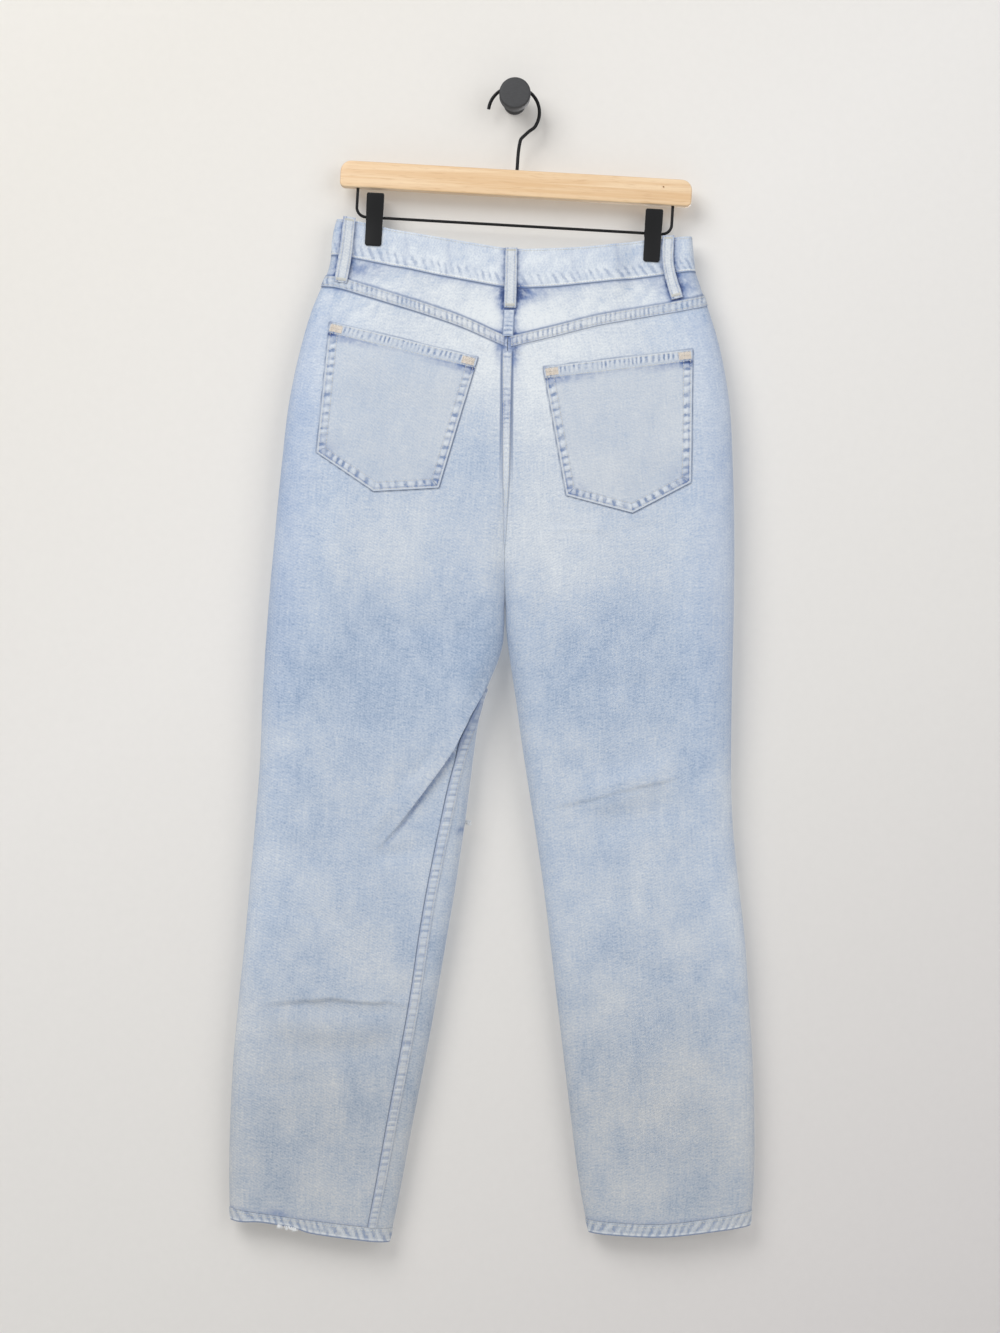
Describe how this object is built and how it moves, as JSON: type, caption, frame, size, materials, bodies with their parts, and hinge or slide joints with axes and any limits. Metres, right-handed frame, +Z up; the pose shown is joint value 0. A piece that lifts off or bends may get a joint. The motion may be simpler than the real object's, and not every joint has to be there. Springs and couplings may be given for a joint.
{
  "type": "jeans on a clip hanger and wall knob",
  "caption": "Straight leg denim jeans hung flat by the waistband from a wooden clip hanger, whose wire hook hangs on a round wall knob.",
  "frame": {"origin": "middle of the wall knob's flat face, where it meets the wall", "axes": "+Y into the wall, out of the knob's flat face; +Z up; +X to the right of someone who looks at the wall. The back of the jeans faces -Y"},
  "size_m": [0.5405, 0.0522, 1.1911],
  "materials": {
    "denim": "light acid wash twill",
    "black_steel": "satin black coating",
    "beech": "clear satin",
    "knob": "black stain",
    "zip_tape": "woven cotton",
    "brass": "aged",
    "copper": "aged copper"
  },
  "bodies": {
    "root": {"waistband": "denim", "yoke_left": "denim", "yoke_right": "denim", "back_left": "denim", "back_right": "denim", "front_left": "denim", "front_right": "denim", "pocket_facing_left": "denim", "pocket_facing_right": "denim", "coin_pocket": "denim", "back_pocket_left": "denim", "back_pocket_right": "denim", "fly_flap": "denim", "belt_loop_back_centre": "denim", "belt_loop_back_left": "denim", "belt_loop_back_right": "denim", "belt_loop_front_left": "denim", "belt_loop_front_right": "denim", "yoke_lap_left": "denim", "yoke_lap_right": "denim", "centre_back_lap": "denim", "inseam_lap_left": "denim", "hem_left": "denim", "hem_right": "denim", "hanger_hook": "black_steel", "clip_rail": "black_steel", "clip_left_jaw_front": "black_steel", "clip_left_jaw_back": "black_steel", "clip_left_spring": "black_steel", "clip_right_jaw_front": "black_steel", "clip_right_jaw_back": "black_steel", "clip_right_spring": "black_steel", "hanger_bar": "beech", "wall_knob": "knob", "zip_tape": "zip_tape", "zip_slider": "brass", "waist_button": "copper"}
  },
  "joints": []
}
